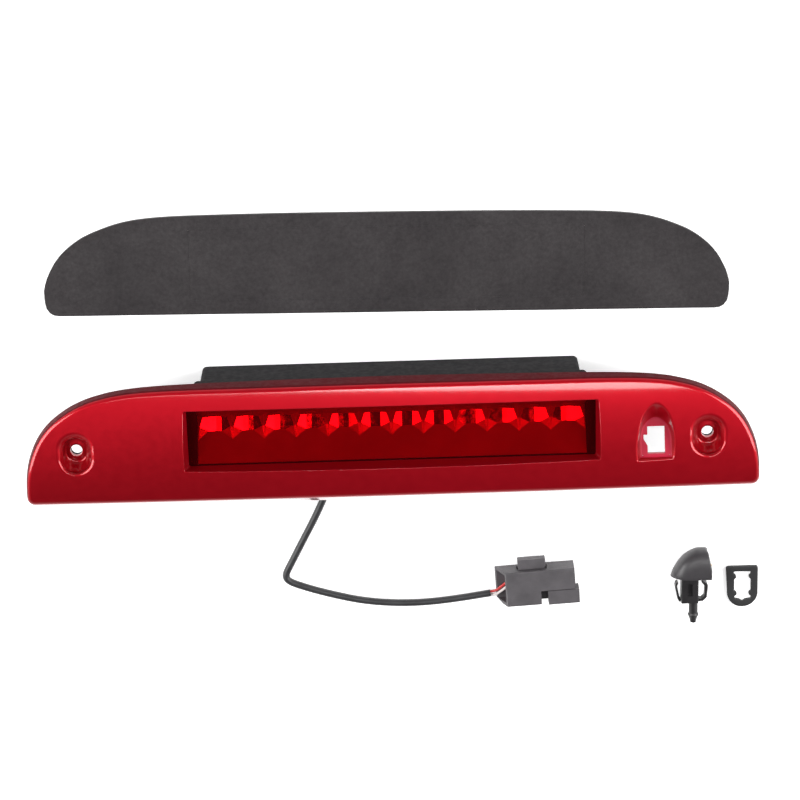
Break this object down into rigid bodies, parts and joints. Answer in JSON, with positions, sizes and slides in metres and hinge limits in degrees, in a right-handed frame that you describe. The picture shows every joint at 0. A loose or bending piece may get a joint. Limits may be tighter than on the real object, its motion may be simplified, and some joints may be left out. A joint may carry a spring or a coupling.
{
  "type": "third brake light",
  "caption": "Liftgate third brake light with half-moon red lens, recessed LED window, washer nozzle, foam gasket and connector pigtail, laid out loose.",
  "frame": {"origin": "midway between the two screw holes, on the rear face of the mounting flange", "axes": "+X along the lamp through the screw holes, +Y towards the lens's curved upper edge, +Z out of the lens face"},
  "size_m": [0.4529, 0.2762, 0.0718],
  "materials": {
    "lens_red": "glossy metallised red acrylic",
    "window_red": "clear red acrylic",
    "housing_black": "fine-textured black ABS",
    "sealant": "black butyl sealant",
    "vent_grey": "expanded PTFE membrane",
    "rubber_black": "matt EPDM rubber",
    "board_green": "solder-masked FR4 board",
    "led_package": "white LED package with clear dome",
    "chip_black": "moulded component body",
    "steel": "zinc-plated steel",
    "reflector_bright": "vacuum-metallised plastic",
    "wire_red": "red PVC insulation",
    "wire_white": "white PVC insulation",
    "sheath_black": "satin PVC sheath",
    "connector_black": "matt glass-filled nylon",
    "silicone": "pale silicone",
    "terminal_tin": "tinned brass",
    "foam_black": "closed-cell EPDM foam",
    "liner_paper": "siliconised release paper",
    "nozzle_black": "satin black acetal",
    "jet_brass": "machined brass"
  },
  "bodies": {
    "lamp": {"outer_lens": "lens_red", "window_lens": "window_red", "rear_housing": "housing_black", "lens_sealant": "sealant", "vent_patch": "vent_grey", "cable_grommet": "rubber_black", "led_board": "board_green", "leds": "led_package", "board_resistors": "chip_black", "board_diodes": "chip_black", "board_screws": "steel", "reflector_tray": "reflector_bright", "inner_wire_red": "wire_red", "inner_wire_white": "wire_white", "cable_sheath": "sheath_black", "tail_wire_red": "wire_red", "tail_wire_white": "wire_white", "connector_housing": "connector_black", "connector_wire_seal": "silicone", "connector_terminals": "terminal_tin"},
    "connector_latch": {"connector_latch": "connector_black"},
    "connector_lock": {"connector_lock_slide": "connector_black"},
    "foam_gasket": {"foam_gasket": "foam_black", "gasket_liner": "liner_paper"},
    "foam_knockout": {"foam_knockout": "foam_black"},
    "washer_nozzle": {"nozzle_body": "nozzle_black", "nozzle_hood": "nozzle_black"},
    "nozzle_clip_left": {"nozzle_clip_left": "nozzle_black"},
    "nozzle_clip_right": {"nozzle_clip_right": "nozzle_black"},
    "nozzle_jet": {"nozzle_jet": "jet_brass"},
    "nozzle_seal": {"nozzle_seal": "rubber_black"}
  },
  "joints": [
    {"name": "latch_press", "type": "hinge", "parent": "lamp", "child": "connector_latch", "pos_m": [0.09448, -0.10648, -0.043], "axis": [0, 0, 1], "range_deg": [0, 3.5], "stiffness_Nm_per_rad": 0.2, "springref_deg": -1.15},
    {"name": "lock_slide", "type": "slide", "parent": "lamp", "child": "connector_lock", "axis": [-0.9985, -0.0541, 0], "range_m": [0, 0.0035]},
    {"name": "gasket_lift", "type": "slide", "parent": "lamp", "child": "foam_gasket", "axis": [0, 0, 1], "range_m": [0, 0.12]},
    {"name": "knockout_lift", "type": "slide", "parent": "foam_gasket", "child": "foam_knockout", "axis": [0, 0, 1], "range_m": [0, 0.06]},
    {"name": "nozzle_lift", "type": "slide", "parent": "lamp", "child": "washer_nozzle", "axis": [0, 0, 1], "range_m": [0, 0.12]},
    {"name": "clip_left_flex", "type": "hinge", "parent": "washer_nozzle", "child": "nozzle_clip_left", "pos_m": [0.1801, -0.13125, -0.0405], "axis": [0, 0, -1], "range_deg": [0, 6], "stiffness_Nm_per_rad": 0.15, "springref_deg": -1.15},
    {"name": "clip_right_flex", "type": "hinge", "parent": "washer_nozzle", "child": "nozzle_clip_right", "pos_m": [0.1919, -0.13125, -0.0405], "axis": [0, 0, 1], "range_deg": [0, 8], "stiffness_Nm_per_rad": 0.15, "springref_deg": -1.15},
    {"name": "jet_aim", "type": "hinge", "parent": "washer_nozzle", "child": "nozzle_jet", "pos_m": [0.1982, -0.1084, -0.0405], "axis": [0, 0, 1], "range_deg": [-12, 12]},
    {"name": "seal_lift", "type": "slide", "parent": "lamp", "child": "nozzle_seal", "axis": [0, 0, 1], "range_m": [0, 0.12]}
  ]
}
